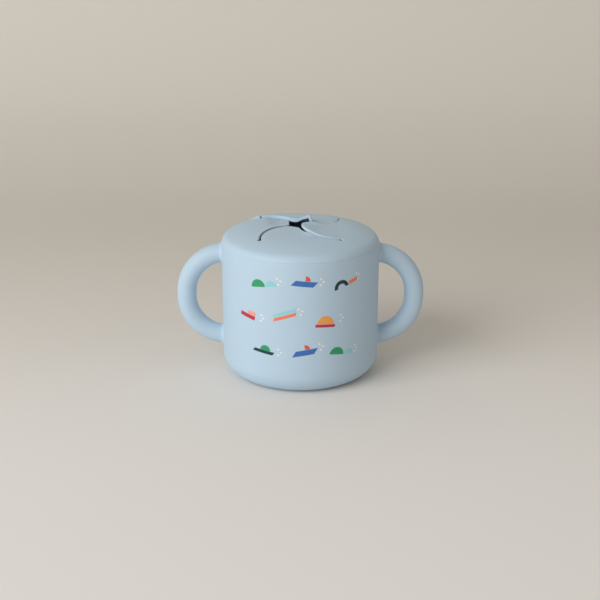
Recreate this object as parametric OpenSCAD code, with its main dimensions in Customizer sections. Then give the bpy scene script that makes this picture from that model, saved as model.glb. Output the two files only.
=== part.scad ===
// Toddler snack container: a soft silicone cup with two loop handles and a
// press-on lid. The lid's top is split by four curved slits into four flaps,
// so a small hand gets in and the snacks stay in. All sizes are millimetres.
// The origin is the middle of the base, +Z is up and -Y is the front.

/* [Cup] */
// Outside diameter of the cup
cup_d = 88; // [78:1:110]
// Height from the table to the flat of the lid
total_h = 80.5; // [68:0.5:110]
// Thickness of the cup's wall
wall_t = 3; // [2.6:0.1:4]
// Thickness of the cup's floor, over the recess
floor_t = 3.2; // [2:0.1:5]
// Outside radius round the bottom edge
base_r = 11.5; // [6:0.5:14]
// Diameter of the shallow recess under the floor
recess_d = 52; // [30:1:58]
// Depth of that recess
recess_h = 0.8; // [0.4:0.1:1.4]
// Thickness of the lip that stands on the rim
lip_t = 1.2; // [1:0.1:1.4]
// Height of that lip above the seam
lip_h = 1.6; // [1:0.1:1.8]

/* [Handles] */
// Diameter of the handle's round section
tube_d = 10.8; // [8:0.2:12]
// How far a handle stands out from the wall
handle_reach = 25.6; // [22:0.2:34]
// Height of the loop over its outside
handle_h = 59.8; // [46:0.2:64]
// Drop from the seam to the top of the loop
handle_drop = 1.4; // [1:0.1:4]
// Radius of the fillet where a handle leaves the wall
root_fillet = 1.2; // [0.5:0.1:2]

/* [Lid] */
// Height of the seam below the flat of the lid
seam_drop = 4.5; // [4:0.1:5.5]
// Radius round the lid's top edge
shoulder_r = 5.8; // [5:0.1:8]
// Thickness of the lid's top
top_t = 2; // [1.6:0.1:2.4]
// Thickness of the ring that plugs into the cup
plug_t = 1.8; // [1.4:0.1:2.4]
// Depth of that ring below the seam
plug_h = 6.5; // [5:0.5:9]
// How far a sealing rib stands out from the ring
rib_h = 0.5; // [0.3:0.1:0.8]
// Height from one sealing rib to the next
rib_pitch = 2.6; // [2:0.1:3.5]
// Clearance between the lid and the cup
fit_gap = 0.3; // [0.2:0.05:0.5]

/* [Flaps] */
// Radius of the bend in each slit
slit_r = 20; // [15:0.5:23]
// Length of the straight at each end of a slit, before and after its bend
slit_straight = 2; // [0.5:0.25:2.5]
// Width of a slit
slit_w = 0.6; // [0.5:0.1:1]
// Diameter of the round hole that ends a slit
end_hole_d = 3; // [2:0.2:4]
// Diameter of the opening where the four tips meet
centre_hole_d = 9; // [4:0.5:11]
// Distance from the slits' ends in to a flap's bending line
hinge_inset = 2.5; // [2:0.1:4]
// Thickness of a flap
flap_t = 1.8; // [1.4:0.1:2.2]
// How far the back flap stands up at rest, in degrees
back_lift = 27; // [0:1:32]
// How far the left flap stands up at rest, in degrees
left_lift = 12; // [0:1:32]
// How far the front flap stands up at rest, in degrees
front_lift = 15; // [0:1:32]
// How far the right flap stands up at rest, in degrees
right_lift = 20; // [0:1:32]

/* [Hidden] */
$fn = 96;

// A small overrun, so that cuts pass cleanly through a face
cut = 1;

// Cup
cup_r = cup_d / 2;
cup_in_r = cup_r - wall_t;
base_in_r = base_r - wall_t;
floor_z = recess_h + floor_t;
seam_z = total_h - seam_drop;
lip_out_r = cup_in_r + lip_t;

// Handles
tube_r = tube_d / 2;
handle_out_r = cup_r + handle_reach - tube_r;
bend_r = min(handle_out_r - cup_in_r, handle_h / 2 - tube_r);
bend_x = handle_out_r - bend_r;
handle_top_z = seam_z - handle_drop - tube_r;
handle_low_z = handle_top_z - handle_h + tube_d;
fillet_r = min(root_fillet, handle_drop - fit_gap / 2);

// Lid
shoulder_z = total_h - shoulder_r;
under_z = total_h - top_t;
plug_out_r = cup_in_r - fit_gap - rib_h;
plug_in_r = plug_out_r - plug_t;
groove_out_r = lip_out_r + fit_gap;
groove_w = groove_out_r - plug_out_r;
ribs = 2;

// Flaps: how far a slit reaches along X and along Y, and the bending line
slit_reach = slit_r + slit_straight;
hinge_y = slit_reach - hinge_inset;
hinge_z = total_h - top_t / 2;
// The lower edge of a flap's rounded root, from where the slits' bends start
root_y = hinge_y - flap_t / 2;
root_rise = root_y - slit_straight;
// Each end of that root, clear of the slit beside it
root_left = sqrt((slit_r + slit_w / 2) ^ 2 - root_rise ^ 2) - slit_r;
root_right = slit_straight + sqrt(slit_r ^ 2 - (slit_r - root_y) ^ 2) - slit_w;

cup_colour = "#B4C8D6";
handle_colour = "#AFC4D3";
lid_colour = "#BACCD8";
flap_colour = "#A9BECC";

// A bar with a full round at its top, on its side: width w, top at h
module round_top(w, h) {
    square([w, h - w / 2]);
    translate([w / 2, h - w / 2]) circle(d = w);
}

// The cup's outside from the base up to the seam, as a half section
module cup_outside() {
    translate([0, base_r]) square([cup_r, seam_z - base_r]);
    square([cup_r - base_r, seam_z]);
    intersection() {
        translate([cup_r - base_r, base_r]) circle(r = base_r);
        square([cup_r, seam_z]);
    }
}

// The space inside the cup, as a half section
module cup_inside() {
    translate([0, floor_z + base_in_r]) square([cup_in_r, total_h]);
    translate([0, floor_z]) square([cup_in_r - base_in_r, total_h]);
    intersection() {
        translate([cup_in_r - base_in_r, floor_z + base_in_r]) circle(r = base_in_r);
        square([cup_in_r, total_h]);
    }
}

// Cup shell: wall, rounded base with a shallow recess, and the rim's lip
module cup() color(cup_colour)
    rotate_extrude() {
        difference() {
            cup_outside();
            cup_inside();
            translate([-cut, -cut]) square([recess_d / 2 + cut, recess_h + cut]);
        }
        translate([cup_in_r, seam_z]) round_top(lip_t, lip_h);
    }

// Concave fillet round a handle's root, turned about the root's own axis
module root_flare() rotate([0, 90, 0])
    rotate_extrude()
        difference() {
            translate([0, cup_in_r]) square([tube_r + fillet_r, wall_t + fillet_r]);
            translate([tube_r + fillet_r, cup_r + fillet_r]) circle(r = fillet_r);
        }

// A quarter bend of the handle's tube, turned in the plane of the loop
module quarter_bend() rotate([90, 0, 0])
    rotate_extrude(angle = 90) translate([bend_r, 0]) circle(d = tube_d);

// Half of a loop: the root on the wall, the stub and the quarter bend
module half_loop() {
    root_flare();
    if (bend_x > cup_in_r)
        translate([cup_in_r, 0, 0]) rotate([0, 90, 0])
            cylinder(d = tube_d, h = bend_x - cup_in_r);
    translate([bend_x, 0, -bend_r]) quarter_bend();
}

// Loop handle for the +X side, cut to the cup's wall
module handle() difference() {
    union() {
        translate([0, 0, handle_top_z]) half_loop();
        translate([0, 0, handle_low_z]) mirror([0, 0, 1]) half_loop();
        if (handle_top_z - handle_low_z > 2 * bend_r)
            translate([handle_out_r, 0, handle_low_z + bend_r])
                cylinder(d = tube_d, h = handle_top_z - handle_low_z - 2 * bend_r);
    }
    cylinder(r = cup_r, h = total_h);
}

module right_handle() color(handle_colour) handle();
module left_handle() color(handle_colour) rotate(180) handle();

// The lid's outside from the seam up to the flat, as a half section
module lid_outside() {
    translate([0, seam_z]) square([cup_r - shoulder_r, seam_drop]);
    intersection() {
        translate([cup_r - shoulder_r, shoulder_z]) circle(r = shoulder_r);
        translate([0, seam_z]) square([cup_r, seam_drop]);
    }
    if (shoulder_z > seam_z)
        translate([0, seam_z]) square([cup_r, shoulder_z - seam_z]);
}

// The ring that plugs into the cup, with its sealing ribs, as a half section
module plug_section() {
    translate([plug_in_r, seam_z - plug_h]) square([plug_t, plug_h + seam_drop / 2]);
    for (i = [1 : ribs])
        translate([plug_out_r, seam_z - i * rib_pitch]) circle(r = rib_h);
}

// The side of a slit that its flap lies on, drawn back from the slit's middle
// line by gap: above the first straight, and inside the bend and the last one
module slit_side(gap) {
    translate([-slit_reach, gap]) square([slit_reach + slit_straight, slit_reach]);
    translate([slit_straight, slit_r]) {
        circle(r = slit_r - gap);
        square([slit_r - gap, slit_reach]);
    }
}

// One slit: from the middle of the lid straight, round a bend to its end hole
module slit() intersection() {
    difference() {
        slit_side(-slit_w / 2);
        slit_side(slit_w / 2);
    }
    square(slit_reach);
}

// A flap's outline, flat, with its root at the line end_y and its tip at the
// middle. It lies inside the slit on its right and outside the one on its left.
module flap_outline(gap, end_y) difference() {
    intersection() {
        slit_side(gap);
        translate([-slit_reach, 0]) square([2 * slit_reach, end_y]);
    }
    rotate(90) slit_side(-gap);
}

// Everything that is cut through the lid's top
module lid_cuts() {
    for (turn = [0 : 90 : 270]) rotate(turn) {
        flap_outline(0, hinge_y + flap_t / 2 + fit_gap);
        slit();
        translate([slit_reach, slit_reach]) circle(d = end_hole_d);
    }
    circle(d = centre_hole_d);
}

// Lid: top, shoulder and skirt on the rim, groove over the lip, and the plug
module lid() color(lid_colour) difference() {
    rotate_extrude() {
        difference() {
            lid_outside();
            translate([-cut, seam_z - cut]) square([plug_in_r + cut, seam_drop - top_t + cut]);
            translate([plug_out_r, seam_z - cut]) round_top(groove_w, lip_h + fit_gap + cut);
        }
        plug_section();
    }
    translate([0, 0, under_z - cut]) linear_extrude(top_t + 2 * cut) lid_cuts();
}

// A flap that points inward from the back, lifted about its bending line
module flap(lift) translate([0, hinge_y, hinge_z]) rotate([-lift, 0, 0])
    translate([0, -hinge_y, 0]) {
        linear_extrude(flap_t, center = true) difference() {
            flap_outline(slit_w / 2, hinge_y);
            circle(d = centre_hole_d);
            translate([-slit_reach, root_y]) square([slit_reach + root_left, flap_t]);
        }
        translate([root_left, hinge_y, 0]) rotate([0, 90, 0])
            cylinder(d = flap_t, h = root_right - root_left);
    }

module flap_back() color(flap_colour) flap(back_lift);
module flap_left() color(flap_colour) rotate(90) flap(left_lift);
module flap_front() color(flap_colour) rotate(180) flap(front_lift);
module flap_right() color(flap_colour) rotate(270) flap(right_lift);

cup();
left_handle();
right_handle();
lid();
flap_back();
flap_left();
flap_front();
flap_right();
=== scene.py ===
# %% [markdown]
# # A silicone snack cup for small hands
#
# The real object is two soft mouldings: a cup with two loop handles, and a lid that presses onto its
# rim. The lid's top is slit from the middle outwards, so that a hand can push in between four flaps.
# The construction model already fixes every size, so this script loads it first and then only makes
# the surfaces that the eye meets: smooth silicone, soft edges, bent flaps and a printed wall.

# %% Load the construction model and note its size
import math

import bmesh
import bpy
import numpy as np
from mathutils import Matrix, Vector


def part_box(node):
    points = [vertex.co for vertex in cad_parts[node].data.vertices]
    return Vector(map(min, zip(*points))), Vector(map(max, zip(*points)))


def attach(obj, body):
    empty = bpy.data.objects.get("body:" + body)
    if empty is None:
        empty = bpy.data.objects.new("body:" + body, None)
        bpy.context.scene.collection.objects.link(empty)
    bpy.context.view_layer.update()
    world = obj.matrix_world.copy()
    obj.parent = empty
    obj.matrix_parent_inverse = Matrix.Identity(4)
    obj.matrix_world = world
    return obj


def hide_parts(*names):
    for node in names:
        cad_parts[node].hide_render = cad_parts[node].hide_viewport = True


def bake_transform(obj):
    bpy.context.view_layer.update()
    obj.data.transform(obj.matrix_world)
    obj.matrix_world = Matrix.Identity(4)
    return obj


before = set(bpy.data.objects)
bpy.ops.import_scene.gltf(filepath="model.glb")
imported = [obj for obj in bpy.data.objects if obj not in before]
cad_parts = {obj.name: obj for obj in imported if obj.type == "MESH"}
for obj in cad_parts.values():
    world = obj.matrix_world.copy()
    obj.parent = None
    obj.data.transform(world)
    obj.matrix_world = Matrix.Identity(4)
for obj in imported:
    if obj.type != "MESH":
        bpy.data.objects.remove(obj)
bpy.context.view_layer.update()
MM = 0.001

# %% [markdown]
# ## Sizes that several pieces share
#
# A size that can be read from the loaded model is read from it, so the looks follow the construction.
# The others are the radii and wall thicknesses of such a moulding. All of them are in millimetres,
# and a helper turns points into Blender's metres when it makes a mesh.

# %% Read the shared sizes from the model
cup_low, cup_high = (np.array(c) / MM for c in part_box("cup"))
_, lid_high = (np.array(c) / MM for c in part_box("lid"))
_, handle_high = (np.array(c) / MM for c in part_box("right_handle"))

wall_r = round((cup_high[0] - cup_low[0]) / 2, 2)
wall_t = 3.0
inside_r = wall_r - wall_t
base_r = 11.5

top_z = round(lid_high[2], 2)
seam_drop = 4.5
seam_z = top_z - seam_drop
shoulder_r = 5.8
flat_r = wall_r - shoulder_r
print("wall radius", wall_r, "inside radius", inside_r, "lid top", top_z, "seam", seam_z)

# %% [markdown]
# ## From a grid of points to a mesh
#
# Every piece here is a surface over two parameters, worked out as one numpy array of points. Blender
# could also build the forms from primitives and modifiers, but a formula keeps each curve exact and
# its size readable. One helper turns such a grid into a closed mesh: a direction that comes back to
# its start is stitched to itself, and an open end is closed with a fan of triangles round its middle.

# %% Helper: a grid of points becomes a smooth closed mesh
def grid_faces(rows, columns, loop_rows, loop_columns):
    """Quads between the neighbours on a grid; a looped direction also joins its last to its first."""
    row = np.arange(rows if loop_rows else rows - 1)
    column = np.arange(columns if loop_columns else columns - 1)
    i, j = np.meshgrid(row, column, indexing="ij")
    i2, j2 = (i + 1) % rows, (j + 1) % columns
    corners = [i * columns + j, i * columns + j2, i2 * columns + j2, i2 * columns + j]
    return np.stack(corners, axis=-1).reshape(-1, 4)


def closed_mesh(name, points, faces, crease=40.0):
    """A mesh object from points in mm: doubles merged, faces outwards, smooth up to a crease angle."""
    mesh = bpy.data.meshes.new(name)
    metres = (np.asarray(points, float) * MM).tolist()
    mesh.from_pydata(metres, [], [tuple(map(int, face)) for face in faces])
    work = bmesh.new()
    work.from_mesh(mesh)
    bmesh.ops.remove_doubles(work, verts=work.verts, dist=2e-7)
    bmesh.ops.recalc_face_normals(work, faces=work.faces)
    open_edges = sum(not edge.is_manifold for edge in work.edges)
    work.to_mesh(mesh)
    work.free()
    mesh.polygons.foreach_set("use_smooth", np.ones(len(mesh.polygons), bool))
    mesh.set_sharp_from_angle(angle=math.radians(crease))
    piece = bpy.data.objects.new(name, mesh)
    bpy.context.scene.collection.objects.link(piece)
    print(f"{name}: {len(mesh.vertices)} points, {len(mesh.polygons)} faces, {open_edges} open edges")
    return piece


def ring_mesh(name, grid, loop_rows=False):
    """Each row is a closed ring; the rows close on themselves too, or both ends get a fan."""
    rows, columns = grid.shape[:2]
    points = grid.reshape(-1, 3)
    faces = [tuple(f) for f in grid_faces(rows, columns, loop_rows, True)]
    if not loop_rows:
        for end in (0, rows - 1):
            ring = np.arange(columns) + end * columns
            points = np.vstack([points, grid[end].mean(axis=0)])
            faces += [(a, b, len(points) - 1) for a, b in zip(ring, np.roll(ring, -1))]
    return closed_mesh(name, points, faces)


# %% [markdown]
# ## The camera
#
# The camera stands where the photographer's did: 19.4 degrees above the table, 0.7 m away and square
# to the handles. It could be placed by eye, but then every later comparison would be off by a little,
# so these values come from fitting the cup's outline, and the focal length follows from how large
# the cup is in the frame.

# %% Camera
elevation = math.radians(19.387)
distance = 0.700
aim_x, aim_z = -0.0002, 0.0406
camera_data = bpy.data.cameras.new("camera")
camera_data.sensor_width = 36.0
camera_data.lens = 74.0
camera_data.clip_start, camera_data.clip_end = 0.05, 20.0
camera = bpy.data.objects.new("camera", camera_data)
back, up = distance * math.cos(elevation), distance * math.sin(elevation)
camera.location = (aim_x, -back, aim_z + up)
camera.rotation_euler = (math.pi / 2 - elevation, 0.0, 0.0)
bpy.context.scene.collection.objects.link(camera)
bpy.context.scene.camera = camera
print(f"camera {back:.3f} m in front of the cup's middle and {aim_z + up:.3f} m above the floor")

# %% [markdown]
# ## The cup
#
# The real cup is one silicone moulding, and its wall, base and rim are a body of revolution. A Screw
# modifier on a drawn outline would make them too, but a profile in numbers is easier to check, so one
# closed profile says everything: down the outside, round the soft base, under the foot with its
# shallow recess, up the inside and over the rim's lip. Silicone leaves its mould with no sharp
# corner, so each edge that shows is a small arc or a short slope.

# %% Helpers: arcs, lines and a profile turned about Z
def arc(centre, radius, start, end, steps):
    """Points (x, y) on a circle from one angle to another, in degrees."""
    angle = np.radians(np.linspace(start, end, steps))
    x, y = centre[0] + radius * np.cos(angle), centre[1] + radius * np.sin(angle)
    return np.stack([x, y], axis=-1)


def line(start, end, steps):
    """Points, or numbers, at even steps from start to end."""
    return np.linspace(start, end, steps)


def revolve(profile, steps=288):
    """Each profile point (radius, height) becomes a ring: radius times cosine and sine of the turn."""
    angle = np.linspace(0, 2 * np.pi, steps, endpoint=False)
    radius, height = np.asarray(profile, float).T
    x, y = np.outer(radius, np.cos(angle)), np.outer(radius, np.sin(angle))
    return np.stack([x, y, np.broadcast_to(height[:, None], x.shape)], axis=-1)


def shoulder_arc(from_z, steps):
    """The outside rounding that the lid and the cup share, from the lid's flat down to a height."""
    low = math.degrees(math.asin((from_z - top_z + shoulder_r) / shoulder_r))
    return arc((flat_r, top_z - shoulder_r), shoulder_r, 90, low, steps)


# %% Cup: one closed profile
floor_z, recess_r, recess_h = 4.0, 26.0, 0.8
lip_r, lip_mid_z = 0.6, seam_z + 1.0
axis_r = 0.01  # the profile stops this far from the axis, so that its smallest ring is still a ring


def cup_profile():
    """Closed section of the cup: rim, wall, base, foot, recess, floor, inside, lip and its ledge."""
    inner_r = base_r - wall_t
    lip_mid = inside_r + lip_r
    seam_r = shoulder_arc(seam_z, 2)[-1][0]
    rim = [(seam_r - 0.12, seam_z), (seam_r - 0.03, seam_z - 0.03), (seam_r + 0.01, seam_z - 0.12)]
    top = [(wall_r - 0.02, seam_z - 0.8)]
    side = line((wall_r, top_z - shoulder_r), (wall_r, base_r), 20)
    base = arc((wall_r - base_r, base_r), base_r, 0, -90, 28)[1:]
    foot = [(recess_r + 1.0, 0.0), (recess_r + 0.3, 0.1), (recess_r, 0.4),
            (recess_r - 0.3, recess_h - 0.1)]
    under = line((recess_r - 1, recess_h), (axis_r, recess_h), 6)
    floor = line((axis_r, floor_z), (inside_r - inner_r - 1, floor_z), 6)
    inside = arc((inside_r - inner_r, floor_z + inner_r), inner_r, -90, 0, 16)
    inner_side = line((inside_r, floor_z + inner_r + 2), (inside_r, seam_z + 0.8), 10)
    lip = arc((lip_mid, lip_mid_z), lip_r, 180, 0, 9)
    ledge = [(lip_mid + lip_r, seam_z + 0.3), (lip_mid + lip_r + 0.3, seam_z)]
    return np.vstack([rim, top, side, base, foot, under, floor, inside, inner_side, lip, ledge])


cup = ring_mesh("cup_wall", revolve(cup_profile()), loop_rows=True)

# %% [markdown]
# ## The handles
#
# Each handle is a round bar bent into an oval loop: two quarter circles with a short straight between
# them. At each root the bar flares into the wall with a small hollow fillet, as it does where two
# cavities of one mould meet. A curve with a round bevel would give the loop, but it couldn't widen
# onto a round wall, so a ring of points is carried along the loop instead, and its last rings widen
# along a quarter circle until they lie on the wall.

# %% Handles: a ring carried along the loop and flared onto the wall at both roots
bar_r, bend_r, flare = 5.4, 23.2, 1.7
loop_drop, loop_h = 1.4, 59.8
loop_top = seam_z - loop_drop - bar_r
loop_low = loop_top - loop_h + 2 * bar_r
loop_out = round(handle_high[0], 2) - bar_r
root_sunk = 1.5  # each root's end is closed this far inside the wall
print(f"the bar's middle runs from {loop_low:.1f} to {loop_top:.1f} high and out to {loop_out:.1f}")


def root_rings(first_ring, steps=10):
    """Rings from the wall to the bar, for t from nought to a right angle: out from the bar by
    flare (1 - sin t), and along it from the wall to the first ring by the share 1 - cos t."""
    centre = first_ring.mean(axis=0)
    out = (first_ring - centre) * (0, 1, 1)
    out /= np.linalg.norm(out, axis=1, keepdims=True)
    t = np.linspace(0, np.pi / 2, steps, endpoint=False)[:, None]
    grown = first_ring[None] + (flare * (1 - np.sin(t)))[..., None] * out[None]
    wall_x = np.sqrt((wall_r - 0.01) ** 2 - grown[..., 1] ** 2)
    grown[..., 0] = wall_x + (first_ring[None, :, 0] - wall_x) * (1 - np.cos(t))
    return grown


def handle_grid(side, around=72, bend_steps=44):
    """Rings of a loop: root, quarter bend, straight, quarter bend, root. A ring is the loop's point
    plus bar_r times (sine of the turn, along the way out; cosine of the turn, along Y)."""
    turn = np.linspace(0, 2 * np.pi, around, endpoint=False)
    bend_x = loop_out - bend_r
    first = math.degrees(math.asin((wall_r + flare - bend_x) / bend_r))
    upper = arc((bend_x, loop_top - bend_r), bend_r, 90 - first, 0, bend_steps)
    lower = arc((bend_x, loop_low + bend_r), bend_r, 0, first - 90, bend_steps)
    path = np.vstack([upper, lower])
    down = np.linspace(90 - first, 0, bend_steps)
    lean = np.radians(np.concatenate([down, -down[::-1]]))
    x = path[:, :1] + np.outer(np.cos(lean), bar_r * np.sin(turn))
    z = path[:, 1:] + np.outer(np.sin(lean), bar_r * np.sin(turn))
    bar = np.stack([x, np.broadcast_to(bar_r * np.cos(turn), x.shape), z], axis=-1)
    high_root, low_root = root_rings(bar[0]), root_rings(bar[-1])[::-1]
    sunk = np.array([-root_sunk, 0, 0])
    grid = np.concatenate([high_root[:1] + sunk, high_root, bar, low_root, low_root[-1:] + sunk])
    grid[..., 0] *= side
    return grid


right_handle = ring_mesh("handle_right", handle_grid(1))
left_handle = ring_mesh("handle_left", handle_grid(-1))

# %% [markdown]
# ## The lid's slits
#
# Four slits run from the middle to small round holes, which keep the silicone from tearing. Each one
# leaves the middle straight, goes round a quarter bend and runs straight into its hole. The next slit
# is the same curve turned by 90 degrees, so the four make a pinwheel. A Boolean would cut them out of
# a finished lid, but it leaves ragged faces along a thin cut, so both sides of a slit are built from
# one curve. Every flap is worked out as if it were the back one and then turned into its place.

# %% Slits: one curve that gives both edges of a flap
slit_reach, slit_straight = 22.0, 2.0
slit_bend = slit_reach - slit_straight
half_gap, hole_r = 0.5, 1.2
hole_centre = np.array([slit_reach, slit_reach])


def slit_line(side, steps=160):
    """The slit that bends towards +Y, moved sideways by the half gap, left for side 1, right for -1.
    Its bend is (straight + bend sin a, bend (1 - cos a)), with a from nought to a right angle."""
    angle = np.radians(np.linspace(0, 90, steps))
    x, y = slit_straight + slit_bend * np.sin(angle), slit_bend * (1 - np.cos(angle))
    path = np.vstack([[(0.0, 0.0)], np.stack([x, y], axis=-1), [hole_centre]])
    heading = np.concatenate([[0], angle, [np.pi / 2]])
    left = np.stack([-np.sin(heading), np.cos(heading)], axis=-1)
    return path + side * half_gap * left


print("a slit ends", hole_centre, "mm from the middle, in a hole", 2 * hole_r, "mm wide")


def turn_plan(points, degrees):
    """Points turned about Z in plan; a third coordinate stays as it is."""
    c, s = math.cos(math.radians(degrees)), math.sin(math.radians(degrees))
    turned = np.array(points, float)
    x, y = turned[..., 0].copy(), turned[..., 1].copy()
    turned[..., 0], turned[..., 1] = c * x - s * y, s * x + c * y
    return turned


# %% Slits: where a flap's two edges end, on its hole and on its chord
right_side = slit_line(1)
right_side = right_side[np.linalg.norm(right_side - hole_centre, axis=1) > hole_r]
off_axis = math.degrees(math.asin(half_gap / hole_r))
right_edge = np.vstack([right_side, arc(hole_centre, hole_r, 270 - off_axis, 180, 9)])
far_side = turn_plan(slit_line(-1), 90)
chord_left = -slit_bend + math.sqrt((slit_bend + half_gap) ** 2 - slit_bend**2)
left_edge = np.vstack([far_side[far_side[:, 1] < slit_reach], [(chord_left, slit_reach)]])
print("a flap's edges end at", left_edge[-1].round(2), "and", right_edge[-1].round(2))

# %% [markdown]
# ## How the lid and its flaps stand
#
# The lid's top is a soft sheet that bulges a few millimetres, and a hand has been in and out, so each
# flap also stands up or hangs a little by its own amount. It could be sculpted, but nobody could then
# read how high it stands. Here all of it is written as heights over a place (x, y): a crown for the
# whole sheet, a swelling at the back left, and one rise for each flap. A rise is nought at the chord
# between two holes, where the flap hangs on, and starts softly there, so that no crease shows.

# %% Heights: the crown of the whole sheet, and the swelling
rim_angle = math.radians(22.3)
crown_r = flat_r + shoulder_r * math.sin(rim_angle)
rim_drop = shoulder_r * (1 - math.cos(rim_angle))
crown_h = crown_r * math.tan(rim_angle) / 4
print(f"the crown is {crown_h - rim_drop:.1f} mm high and meets the shoulder at radius {crown_r:.1f}")


def ease(value):
    """0 up to 0, 1 from 1 on, and a smooth rise between: 3 v^2 - 2 v^3."""
    value = np.clip(value, 0, 1)
    return value * value * (3 - 2 * value)


def crown(x, y):
    """crown_h (1 - (r / crown_r)^4) - rim_drop. At crown_r it has the height and the slope that the
    shoulder's arc has rim_angle round from its top, so the two run into each other."""
    return crown_h * (1 - np.minimum(np.hypot(x, y) / crown_r, 1) ** 4) - rim_drop


def swelling(x, y):
    """The back left, pulled up with its flap: 0.8 mm that fades towards the right, and a bell of
    0.6 mm past the slit's end. Smooth steps bring it to nought at the shoulder, at the far left and
    towards the front, and beside the flap its front is steep: 1.6 mm deep, and deeper further out."""
    height = 0.8 * ease((2 - x) / 20) + 0.6 * np.exp(-(((x + 24) / 5) ** 2))
    fade = ease((crown_r - 1.0 - np.hypot(x, y)) / 6) * ease((x + 37) / 8) * ease((y - 10) / 8)
    beside = ease((-16 - x) / 3)
    depth = 1.6 + 0.15 * np.clip(-slit_reach - x, 0, 12)
    front = ease((y - slit_reach + hole_r - 0.1) / depth)
    return height * fade * (1 + (front - 1) * beside)


# %% Heights: how much each flap rises over the crown
def start_soft(y):
    """Depth d in from the chord, with a soft start: sqrt(d^2 + 1.5^2) - 1.5, so no crease shows."""
    chord_gap, softness = 0.4, 1.5
    inside = np.maximum(slit_reach - y - chord_gap, 0)
    return np.sqrt(inside**2 + softness**2) - softness


def rise_back(x, y):
    """The swelling, and a tip that curls up by up to 5 mm: a smooth step over 14 mm of the depth, more
    towards the right, and down to nought along the slit to the right flap."""
    curl = ease((start_soft(y) - 3.4) / 14) * (1 + 0.1 * x) * ease((8.0 - x) / 3.0)
    return swelling(x, y) + 3.7 * curl


def rise_left(x, y):
    """A slope of 0.04 on its front side, and let down by up to 1.4 mm on its back side."""
    depth = start_soft(y)
    back_side = ease((x + 4) / 17)
    return 0.04 * depth * (1 - back_side) - 1.4 * back_side * ease(depth / 8)


def rise_front(x, y):
    """A slope of 0.02, and 1.1 mm more along its slit to the right flap."""
    depth = start_soft(y)
    return 0.02 * depth + 1.1 * ease((1 - x) / 8) * ease(depth / 6)


def rise_right(x, y):
    """A slope of 0.085, 1 mm more towards the tip and 1.3 mm more along its slit to the back flap."""
    depth = start_soft(y)
    tip, side = ease((depth - 8) / 12), ease((3.5 - x) / 5) * ease((depth - 4) / 10)
    return 0.085 * depth + 1.0 * tip + 1.3 * side


# Of each flap: its turn about Z, its rise, how far along its left and right slit the tip starts, how
# far the tip is drawn in from them (less than nought: pushed out), and the radius of its corners.
FLAPS = {
    "flap_back": (0, rise_back, (5.0, 6.5), (0, -0.7), 3.2),
    "flap_left": (90, rise_left, (6.2, 17.7), (2.4, 0), 1.4),
    "flap_front": (180, rise_front, (4.4, 6.3), (0, 0.7), 1.4),
    "flap_right": (270, rise_right, (6.0, 2.8), (0, 0), 1.8),
}
print("the back flap's tip rises", round(float(rise_back(4.5, 5.0)), 1), "mm over the crown")

# %% [markdown]
# ## The flaps
#
# A flap is a piece of the sheet with three cut edges, and it hangs on by the fourth. A plane with a
# Solidify modifier would be quicker, but its edges would be square and its thickness even. Here a
# flap is a grid too: its rows run across it from its left slit to its right one, the first at the tip
# and the last on the chord, and each row is a flat ring with rounded corners, so the cut edges catch
# the light as they do on the real sheet, which thins towards its tips.

# %% Helpers: places along a line, and points at a depth in the sheet
def run_of(path):
    """Distance run along a polyline up to each of its points."""
    return np.concatenate([[0], np.cumsum(np.linalg.norm(np.diff(path, axis=0), axis=1))])


def at_run(path, distance):
    """Points of a polyline at the given distances along it."""
    return np.stack([np.interp(distance, run_of(path), path[:, k]) for k in range(2)], axis=-1)


def on_sheet(plan, depth, height):
    """Points at a depth under the top face, taken square to it: p - depth n, with n from its slopes."""
    x, y = plan[..., 0], plan[..., 1]
    step = 0.01
    slope_x = (height(x + step, y) - height(x - step, y)) / (2 * step)
    slope_y = (height(x, y + step) - height(x, y - step)) / (2 * step)
    normal = np.stack([-slope_x, -slope_y, np.ones_like(x)], axis=-1)
    normal /= np.linalg.norm(normal, axis=-1, keepdims=True)
    face = np.concatenate([plan, (top_z + height(x, y))[..., None]], axis=-1)
    return face - np.broadcast_to(depth, x.shape)[..., None] * normal


# %% Flaps: rings across the sheet, from the tip out to the chord
sheet, edge_r = 2.2, 0.3
flap_length, thinning_length, tip_share = 20.0, 14.0, 0.7
FIRST_ROWS = np.array([0.0, 0.03, 0.09, 0.17, edge_r])  # close rows that round off the tip's edge


def sheet_ring(across=34, corner=5):
    """Section of the sheet: (share across, shift inwards at that end, height over its middle). A
    corner is a quarter circle: in by edge_r (1 - sin t), down by edge_r (1 - cos t)."""
    share = np.linspace(0, 1, across)
    turn = np.radians(np.linspace(0, 90, corner))
    half = sheet / 2
    flat = np.stack([share, edge_r * (1 - 2 * share), np.full(across, half)], axis=-1)
    shift, level = -edge_r * (1 - np.sin(turn)), half - edge_r * (1 - np.cos(turn))
    high = np.stack([np.ones(corner), shift, level], axis=-1)
    low = high[::-1] * (1, 1, -1)
    right = np.vstack([high[1:], low[:-1]])
    under = flat[::-1] * (1, 1, -1)
    left = right[::-1] * (0, -1, 1)
    return np.vstack([flat, right, under, left])


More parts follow.
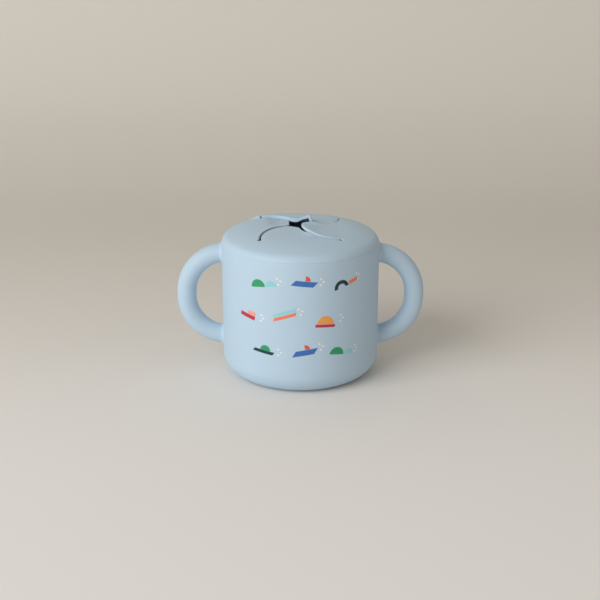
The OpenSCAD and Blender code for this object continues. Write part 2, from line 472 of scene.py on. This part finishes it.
def flap_grid(height, starts, drawn_in, corner_r, rows=64):
    """Closed rings from the tip to the chord, each at left edge + share x span. With a the distance
    from the tip, the ends come in by r - sqrt(r^2 - (r - a)^2) at a corner of radius r, and by
    drawn_in sqrt(1 - a / length); the sheet thins smoothly to tip_share over thinning_length."""
    spread = np.linspace(0, 1, rows)[1:] ** 0.9
    sides = []
    for path, begin in ((left_edge, starts[0]), (right_edge, starts[1])):
        rest = run_of(path)[-1] - begin - edge_r
        sides.append(at_run(path, begin + np.concatenate([FIRST_ROWS, edge_r + rest * spread])))
    left, right = sides
    advance = np.concatenate([FIRST_ROWS, edge_r + flap_length * spread])
    inset = corner_r - np.sqrt(corner_r**2 - np.maximum(corner_r - advance, 0) ** 2)
    towards_tip = np.sqrt(1 - advance / advance[-1])
    step = (right - left) / np.linalg.norm(right - left, axis=1, keepdims=True)
    left += step * (inset + drawn_in[0] * towards_tip)[:, None]
    right -= step * (inset + drawn_in[1] * towards_tip)[:, None]
    ring = sheet_ring()
    share, shift, level = ring[None, :, :1], ring[None, :, 1:2], ring[None, :, 2]
    plan = left[:, None] + (right - left)[:, None] * share + step[:, None] * shift
    # the tip's edge is rounded in section, as the sides are
    on_edge = 1 - np.minimum(advance / edge_r, 1)
    rounded = 1 - edge_r / (sheet / 2) * (1 - np.sqrt(1 - on_edge**2))
    thinned = tip_share + (1 - tip_share) * ease(advance / thinning_length)
    depth = (sheet / 2 - level * rounded[:, None]) * thinned[:, None]
    return on_sheet(plan, depth, height)


flaps = {}
for name, (turn, rise, *tip) in FLAPS.items():
    grid = flap_grid(lambda x, y: crown(x, y) + rise(x, y), *tip)
    flaps[name] = ring_mesh("soft_" + name, turn_plan(grid, turn))

# %% [markdown]
# ## The rest of the lid
#
# Outside the four chords the lid is one piece. Its section is a closed loop: from the cut edge out
# over the top, round the shoulder, down to the seam, through the groove for the cup's lip, down and
# up the ribbed plug and back under the top. A turned profile with the slits cut out would need a
# Boolean again, so the loop is swept once round the opening instead, and the whole lid is one grid
# that closes in both directions.

# %% Lid: the opening's outline
def opening_quarter():
    """Outline behind the back chord: half a hole, the slit's far side, the chord, half a hole; with
    how round each point's edge is (0 where a flap hangs on) and the polar angle that it leads to."""
    left_hole = arc(hole_centre * (-1, 1), hole_r, 135, off_axis, 14)
    slot = far_side[(far_side[:, 1] >= slit_reach) & (far_side[:, 0] > left_hole[-1][0])][::-1]
    slot = at_run(slot, line(0, run_of(slot)[-1], 10))[1:-1]
    chord = line((chord_left, slit_reach), (slit_reach - hole_r, slit_reach), 44)
    right_hole = arc(hole_centre, hole_r, 180, 45, 14)[1:]
    points = np.vstack([left_hole, slot, chord, right_hole])
    cut, hung = np.ones(len(left_hole) + len(slot)), np.zeros(len(chord))
    roundness = np.concatenate([cut, hung, np.ones(len(right_hole))])
    # in degrees: 135 and 45 run through the holes' middles, 121 and 58 lie just past the holes
    at_left_hole = line(135, 121, len(left_hole))
    at_chord = line(121, 58, len(slot) + len(chord) + 1)[1:]
    at_right_hole = line(58, 45, len(right_hole) + 1)[1:]
    angle = np.concatenate([at_left_hole, at_chord, at_right_hole])
    return points[:-1], roundness[:-1], angle[:-1]


print("a quarter of the opening's outline has", len(opening_quarter()[0]), "points")


# %% Lid: the section past its top
fit_gap, rib_r, rib_pitch = 0.3, 0.5, 2.6
plug_t, plug_h = 1.8, 6.5


def lid_section():
    """The section past the top: shoulder, skirt, groove, ribbed plug and back in under the top."""
    groove_out, plug_out = inside_r + 2 * lip_r + fit_gap, inside_r - fit_gap - rib_r
    plug_in, plug_low = plug_out - plug_t, seam_z - plug_h
    groove_mid, groove_half = (groove_out + plug_out) / 2, (groove_out - plug_out) / 2
    shoulder = shoulder_arc(seam_z + 0.12, 28)
    shoulder = shoulder[shoulder[:, 0] > crown_r + 0.1]
    edge = shoulder[-1][0]
    skirt = [(edge - 0.03, seam_z + 0.04), (edge - 0.12, seam_z + 0.01),
             (groove_out + 0.1, seam_z + 0.01)]
    groove = arc((groove_mid, lip_mid_z), groove_half, 0, 180, 9)
    ribs = [arc((plug_out, seam_z - rib_pitch * n), rib_r, 90, -90, 7) for n in (1, 2)]
    ring = [(plug_out, plug_low + 0.5), (plug_out - 0.3, plug_low + 0.1), (plug_out - 0.9, plug_low),
            (plug_in + 0.3, plug_low + 0.1), (plug_in, plug_low + 0.5)]
    under_z = top_z - sheet
    inner = [(plug_in, under_z - 1.5), (plug_in - 0.4, under_z - 0.5), (plug_in - 1.4, under_z)]
    return np.vstack([shoulder, skirt, groove, *ribs, ring, inner])


print("the lid's section past its top has", len(lid_section()), "points")


# %% Lid: the section swept round the opening
def lid_top(x, y):
    """Height of the lid's own top: the crown and the swelling together."""
    return crown(x, y) + swelling(x, y)


def lid_grid(rows=22):
    """Rows follow the closed section and columns go round the opening. A point of the top lies at
    start + (end - start) v^1.1, from the opening's edge out to crown_r; the others are revolved."""
    quarter, roundness, angle = opening_quarter()
    turns = (0, -90, -180, -270)
    outline = np.concatenate([turn_plan(quarter, t) for t in turns])
    polar = np.radians(np.concatenate([angle + t for t in turns]))
    way = np.stack([np.cos(polar), np.sin(polar)], axis=-1)
    tangent = np.roll(outline, -1, axis=0) - np.roll(outline, 1, axis=0)
    tangent /= np.linalg.norm(tangent, axis=1, keepdims=True)
    away = np.stack([-tangent[:, 1], tangent[:, 0]], axis=-1)
    # the cut edge is rounded at a slit or a hole, and square where a flap hangs on
    edge = edge_r * np.tile(roundness, 4)[:, None]
    turn = np.radians(np.linspace(90, 0, 5))
    edge_plan = [outline + away * edge * (1 - math.cos(t)) for t in turn]
    edge_depth = [edge[:, 0] * (1 - math.sin(t)) for t in turn]
    radius, level = lid_section().T
    start = edge_plan[0]
    out = np.linspace(0, 1, rows)[1:, None, None] ** 1.1
    top = start[None] + (way * crown_r - start)[None] * out
    under = (start[None] + (way * radius[-1] - start)[None] * out)[::-1]
    x, y = np.outer(radius, way[:, 0]), np.outer(radius, way[:, 1])
    body = np.stack([x, y, np.broadcast_to(level[:, None], x.shape)], axis=-1)
    upper = [on_sheet(p, d, lid_top) for p, d in zip(edge_plan, edge_depth)][::-1]
    lower = [on_sheet(p, sheet - d, lid_top) for p, d in zip(edge_plan, edge_depth)]
    return np.concatenate([np.stack(upper), on_sheet(top, 0, lid_top), body,
                           on_sheet(under, sheet, lid_top), np.stack(lower)])


lid = ring_mesh("lid_shell", lid_grid(), loop_rows=True)

# %% [markdown]
# ## Silicone
#
# The whole cup is liquid silicone rubber, pigmented pale blue grey and moulded in a finely blasted
# steel tool. That gives the eye a matte surface with a broad soft highlight, no clear reflection and
# hardly any colour variation. One Principled shader does it: an index of 1.41 as silicone has, a
# roughness in the middle, and noise at two real sizes, for faint clouds in the pigment and for the
# tool's grain. Subsurface scattering would soften it further, but this pigment is nearly opaque.

# %% Material helpers
def linear(hex_colour):
    """An sRGB hex colour as the linear RGBA that a shader socket takes."""
    parts = [int(hex_colour[i:i + 2], 16) / 255 for i in (1, 3, 5)]
    return [c / 12.92 if c <= 0.04045 else ((c + 0.055) / 1.055) ** 2.4 for c in parts] + [1.0]


def add_node(tree, kind, inputs=None, **settings):
    """Add a node, set its properties, and set or link its inputs by name or number."""
    node = tree.nodes.new(kind)
    for key, value in settings.items():
        setattr(node, key, value)
    for key, value in (inputs or {}).items():
        if isinstance(value, bpy.types.NodeSocket):
            tree.links.new(value, node.inputs[key])
        else:
            node.inputs[key].default_value = value
    return node


def new_material(name):
    """An empty node material and its tree."""
    material = bpy.data.materials.new(name)
    material.use_nodes = True
    material.node_tree.nodes.clear()
    return material, material.node_tree


# %% Silicone: pigment with faint clouds, and the fine grain of a blasted mould
cloud_mm = 20.0
grain_mm, grain_depth_mm = 0.4, 0.1  # the real grain is 0.05 mm wide; this is coarser, so it shows


def silicone(name, colour, clouds=0.012, roughness=0.55):
    """Silicone of one colour: its value varies by the clouds' share, its roughness by 0.03."""
    material, tree = new_material(name)
    place = add_node(tree, "ShaderNodeTexCoord").outputs["Object"]
    cloud = add_node(tree, "ShaderNodeTexNoise", {
        "Vector": place, "Scale": 1 / (cloud_mm * MM), "Detail": 3.0}).outputs["Fac"]
    shade = add_node(tree, "ShaderNodeMapRange", {
        "Value": cloud, "From Min": 0.3, "From Max": 0.7,
        "To Min": 1 - clouds, "To Max": 1 + clouds}).outputs["Result"]
    tint = add_node(tree, "ShaderNodeHueSaturation", {"Color": linear(colour), "Value": shade})
    rough = add_node(tree, "ShaderNodeMapRange", {
        "Value": cloud, "From Min": 0.3, "From Max": 0.7,
        "To Min": roughness - 0.03, "To Max": roughness + 0.03})
    grain = add_node(tree, "ShaderNodeTexNoise", {
        "Vector": place, "Scale": 1 / (grain_mm * MM), "Detail": 2.0})
    bump = add_node(tree, "ShaderNodeBump", {
        "Height": grain.outputs["Fac"], "Strength": 0.10, "Distance": grain_depth_mm * MM})
    shader = add_node(tree, "ShaderNodeBsdfPrincipled", {
        "Base Color": tint.outputs["Color"], "Roughness": rough.outputs["Result"], "IOR": 1.41,
        "Normal": bump.outputs["Normal"]})
    add_node(tree, "ShaderNodeOutputMaterial", {"Surface": shader.outputs["BSDF"]})
    return material


cup_silicone = silicone("moulded_silicone", "#B9D0E2")
soft_pieces = (cup, left_handle, right_handle, lid, *flaps.values())
for piece in soft_pieces:
    piece.data.materials.append(cup_silicone)
print(len(soft_pieces), "pieces of silicone, colour", np.round(linear("#B9D0E2"), 3)[:3])

# %% [markdown]
# ## The print
#
# Small motifs are screen printed on the wall in silicone ink: simple blocks, domes and wedges in
# clear colours, the size of a thumbnail, with three small white dots beside each. A picture on the
# wall would be the usual way, but it blurs close up and needs a file. So each ink is a real layer,
# less than 0.1 mm thick, worked out flat and then laid round the wall, and its edges stay crisp. The
# ink is the wall's own rubber with more pigment, and it dries a touch smoother.

# %% Print: flat shapes as functions of two parameters
def block(length, height, slant=0.0):
    """A bar whose ends lean: x runs along it, y up it, and the top is shifted by the slant."""
    a, b = np.meshgrid(np.linspace(0, 1, 13), np.linspace(0, 1, 5), indexing="ij")
    return np.stack([(a - 0.5) * length + (b - 0.5) * slant, (b - 0.5) * height], axis=-1)


def dome(radius, hole=0.01, start=0.0, end=180.0):
    """Half a disc or an arch: radius from the hole outwards, angle from start to end in degrees."""
    a, b = np.meshgrid(np.linspace(0, 1, 4), np.linspace(0, 1, 25), indexing="ij")
    reach = hole + (radius - hole) * a
    angle = np.radians(start + (end - start) * b)
    return np.stack([reach * np.cos(angle), reach * np.sin(angle)], axis=-1)


def dot(radius):
    """A round dot: the square (a, b) pressed into a circle, x = a sqrt(1 - b^2 / 2), y likewise."""
    a, b = np.meshgrid(np.linspace(-1, 1, 9), np.linspace(-1, 1, 9), indexing="ij")
    return radius * np.stack([a * np.sqrt(1 - b * b / 2), b * np.sqrt(1 - a * a / 2)], axis=-1)


def placed(shape, x=0.0, y=0.0, tilt=0.0):
    """A flat shape turned by the tilt and moved to its place in its motif."""
    return turn_plan(shape, tilt) + (x, y)


# %% Print: flat shapes laid round the wall as a layer of ink
ink_sunk = 0.15  # how far a layer reaches into the wall


def outline_of(rows, columns):
    """Numbers of a grid's outer points, once round: first row, last column, last row, first column."""
    return np.concatenate([
        np.arange(columns), np.arange(1, rows) * columns + columns - 1,
        (rows - 1) * columns + np.arange(columns - 2, -1, -1), np.arange(rows - 2, 0, -1) * columns])


def print_layer(name, shapes, colour, proud):
    """One closed layer of ink: each flat grid is wrapped twice, proud of the wall and just inside it,
    at the angle x / wall_r, and a band of faces joins the two round their outline."""
    points, faces, count = [], [], 0
    for shape in shapes:
        rows, columns = shape.shape[:2]
        angle = shape[..., 0] / wall_r - np.pi / 2
        for radius in (wall_r + proud, wall_r - ink_sunk):
            x, y = radius * np.cos(angle), radius * np.sin(angle)
            points.append(np.stack([x, y, shape[..., 1]], axis=-1).reshape(-1, 3))
        one = grid_faces(rows, columns, False, False) + count
        edge = outline_of(rows, columns) + count
        far = edge + rows * columns
        walls = np.stack([edge, np.roll(edge, -1), np.roll(far, -1), far], axis=-1)
        faces += [one, one[:, ::-1] + rows * columns, walls]
        count += 2 * rows * columns
    layer = closed_mesh(name, np.vstack(points), np.vstack(faces))
    layer.data.materials.append(silicone("ink_" + name, colour, clouds=0.03, roughness=0.5))
    return layer


# %% Print: the motifs
DOT_PLACES = ((8.6, 2.2), (10.2, 0.6), (8.8, -1.2))


def motif(kind):
    """The parts of a motif: (ink, flat shape) pairs, about 15 mm wide and centred on nought."""
    dots = [("white", placed(dot(0.6), x, y)) for x, y in DOT_PLACES]
    kinds = {
        "hills": [("green", placed(dome(4.2), -3.2, -2.2)), ("mint", placed(dome(3.2), 4.4, -2.2))],
        "boat": [("blue", placed(block(12, 3.0, 2.5), 0, -1.2)),
                 ("red", placed(dome(2.8, 0.01, 0, 90), 0.3, 0.5))],
        "tent": [("orange", placed(dome(4.6), 0, -2.4)), ("crimson", placed(block(11, 1.6), 0, -3.4))],
        "stripes": [("coral", block(13, 1.7, 1.0)), ("mint", placed(block(13, 1.7, 1.0), 0.6, 2.2))],
        "arch": [("forest", placed(dome(4.4, 2.4), -2.6, -1.6)),
                 ("coral", placed(block(6, 2.0), 5.4, -0.6))],
        "steps": [("crimson", placed(block(10, 2.2), 0, -1.4)),
                  ("pink", placed(block(5, 2.2), 2.5, 0.9))],
        "leaf": [("forest", placed(block(12, 1.8, 1.2), 0, -1.2)),
                 ("green", placed(dome(3.0), 1, -0.2))],
    }
    return kinds[kind] + dots


# %% Print: the inks, the layout and the layers
INKS = {"mint": "#93D3DA", "coral": "#F2805F", "forest": "#123C42", "blue": "#3D6FB5",
        "red": "#DE5A4A", "crimson": "#BE3350", "orange": "#EFA252", "green": "#2F9C68",
        "pink": "#F0A08F", "white": "#EDE8E6"}
LAYOUT = [  # (motif, degrees round the wall from the front, height of its middle, tilt)
    ("hills", -27, 64, 8), ("boat", 3, 66, -6), ("arch", 33, 63, 14),
    ("steps", -40, 45, -10), ("stripes", -11, 46, 18), ("tent", 18, 44, -4),
    ("leaf", -27, 26, -6), ("boat", 3, 27, 9), ("hills", 31, 25, -8)]
ink_shapes = {ink: [] for ink in INKS}
for side in (0, 180):
    for kind, degrees, height, tilt in LAYOUT:
        place = (math.radians(degrees + side) * wall_r, height)
        for ink, shape in motif(kind):
            ink_shapes[ink].append(placed(shape, 0, 0, tilt) + place)

# each ink is a little prouder than the one before, so that no two share a face where they meet
first_ink, next_ink = 0.04, 0.006
prints = [print_layer("print_" + ink, ink_shapes[ink], colour, first_ink + next_ink * k)
          for k, (ink, colour) in enumerate(INKS.items())]
print(len(prints), "inks,", sum(map(len, ink_shapes.values())), "printed shapes")

# %% [markdown]
# ## Floor and backdrop
#
# The cup stands on a sheet of matte paint or paper that runs up behind it in one soft curve, so there
# In the photograph it is palest in front, warmer and darker behind the cup and paler again far back.
# Spotlights could shade it, but they would light the cup as well, so this light and shade is painted
# into the paint's tone instead: painted light in front and far back, painted shade behind the cup,
# changing softly with the distance, and the lamp only adds the shadow. The paint is rough, which
# gives the eye an even tone without a highlight.

# %% Floor and backdrop as one swept sheet
# painted light and shade along Y: paler in front and far back, darker and warmer behind the cup
ROOM_PAINTED_LIGHT_AND_SHADE = [(-0.5, "#F2EFED"), (-0.13, "#F3F0EE"), (0.04, "#E6E2DD"), (0.268, "#D2CDC4"),
              (0.43, "#DBD6CE"), (0.72, "#EEEAE3"), (1.3, "#E9E6DF")]
cove_r, back_y, room_half = 0.6, 1.3, 3.0


def matte_paint_with_painted_light(name, tones):
    """Flat paint with painted light and shade: its tone follows a smooth spline along Y through (place
    in metres, sRGB colour) pairs; the first and the last give where it starts and ends."""
    near_y, far_y = tones[0][0], tones[-1][0]
    material, tree = new_material(name)
    place = add_node(tree, "ShaderNodeTexCoord").outputs["Object"]
    depth = add_node(tree, "ShaderNodeSeparateXYZ", {"Vector": place}).outputs["Y"]
    share = add_node(tree, "ShaderNodeMapRange", {
        "Value": depth, "From Min": near_y, "From Max": far_y})
    ramp = add_node(tree, "ShaderNodeValToRGB", {"Fac": share.outputs["Result"]})
    stops = ramp.color_ramp.elements
    stops[0].position, stops[1].position = 0.0, 1.0
    for y, _ in tones[1:-1]:
        stops.new((y - near_y) / (far_y - near_y))
    for stop, (_, tone) in zip(stops, tones):
        stop.color = linear(tone)
    ramp.color_ramp.interpolation = "B_SPLINE"
    shader = add_node(tree, "ShaderNodeBsdfPrincipled", {
        "Base Color": ramp.outputs["Color"], "Roughness": 0.9})
    add_node(tree, "ShaderNodeOutputMaterial", {"Surface": shader.outputs["BSDF"]})
    return material


cove = arc((back_y - cove_r, cove_r), cove_r, -90, 0, 24)
profile = np.vstack([[(-room_half, 0.0)], cove, [(back_y, room_half)]])
across = np.tile([-room_half, room_half], (len(profile), 1))
y, z = np.repeat(profile[:, :1], 2, axis=1), np.repeat(profile[:, 1:], 2, axis=1)
room_points = np.stack([across, y, z], axis=-1).reshape(-1, 3)
room_mesh = bpy.data.meshes.new("room_sheet")
room_mesh.from_pydata(room_points.tolist(), [], grid_faces(len(profile), 2, False, False).tolist())
room_mesh.polygons.foreach_set("use_smooth", np.ones(len(room_mesh.polygons), bool))
room = bpy.data.objects.new("room_sheet", room_mesh)
bpy.context.scene.collection.objects.link(room)
room_mesh.materials.append(matte_paint_with_painted_light("matte_paint_with_painted_light", ROOM_PAINTED_LIGHT_AND_SHADE))
print(f"room sheet: {len(room_mesh.polygons)} faces, climbs from {back_y - cove_r:.1f} m behind the cup")

# %% [markdown]
# ## Light
#
# The photograph has one broad soft light, from the front left and fairly low, so that the lid's top
# stays darker than the wall's lit side, and the room's own dim warm light fills the shadow side. One
# large area lamp and an even world give just that, and both stay plain enough for the colours to
# render about as they are written.

# %% Lights
def area_light(name, place, aim, size, watts):
    """A square, white, soft light at a place in metres, turned to face a point."""
    data = bpy.data.lights.new(name, "AREA")
    data.size, data.energy, data.color = size, watts, (1.0, 1.0, 1.0)
    light = bpy.data.objects.new(name, data)
    light.location = place
    light.rotation_euler = (Vector(aim) - Vector(place)).to_track_quat("-Z", "Y").to_euler()
    bpy.context.scene.collection.objects.link(light)
    print(f"{name}: {size} m wide, {watts} W, {(Vector(aim) - Vector(place)).length:.2f} m away")


area_light("window", (-1.35, -1.25, 0.95), (0, 0, 0.04), 1.6, 30.0)
world = bpy.data.worlds.new("room")
world.use_nodes = True
bpy.context.scene.world = world
surround = world.node_tree.nodes["Background"]
surround.inputs["Color"].default_value = linear("#EDE8DF")
surround.inputs["Strength"].default_value = 0.47
bpy.context.scene.view_settings.view_transform = "Standard"

# %% [markdown]
# ## Ties to the construction
#
# Each soft piece takes the place of the plain solid that carries its collision. The cup, its handles,
# the prints and the lid ride on the body that moves them. For a flap, the point where the lid holds it
# at its chord and the point where its own body takes over further in are worked out. An armature, or a
# call that blends the two bodies, could bend it, but neither is used here, so the flap neither rides nor
# bends.

# %% Ride and replace
bend_zone = 5.0  # how far in from its chord a flap's own body would take over; the point it gives is not used

for piece, node in ((cup, "cup"), (left_handle, "left_handle"), (right_handle, "right_handle")):
    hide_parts(node)
    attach(piece, "cup")
for piece in prints:
    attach(piece, "cup")
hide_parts("lid")
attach(lid, "lid")
for name, (turn, *_) in FLAPS.items():
    held = turn_plan([[0, slit_reach, top_z]], turn)[0] * MM
    free = turn_plan([[0, slit_reach - bend_zone, top_z]], turn)[0] * MM
    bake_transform(flaps[name])
    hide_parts(name)
print(len(soft_pieces), "solids replaced,", len(prints), "prints ride on the cup")
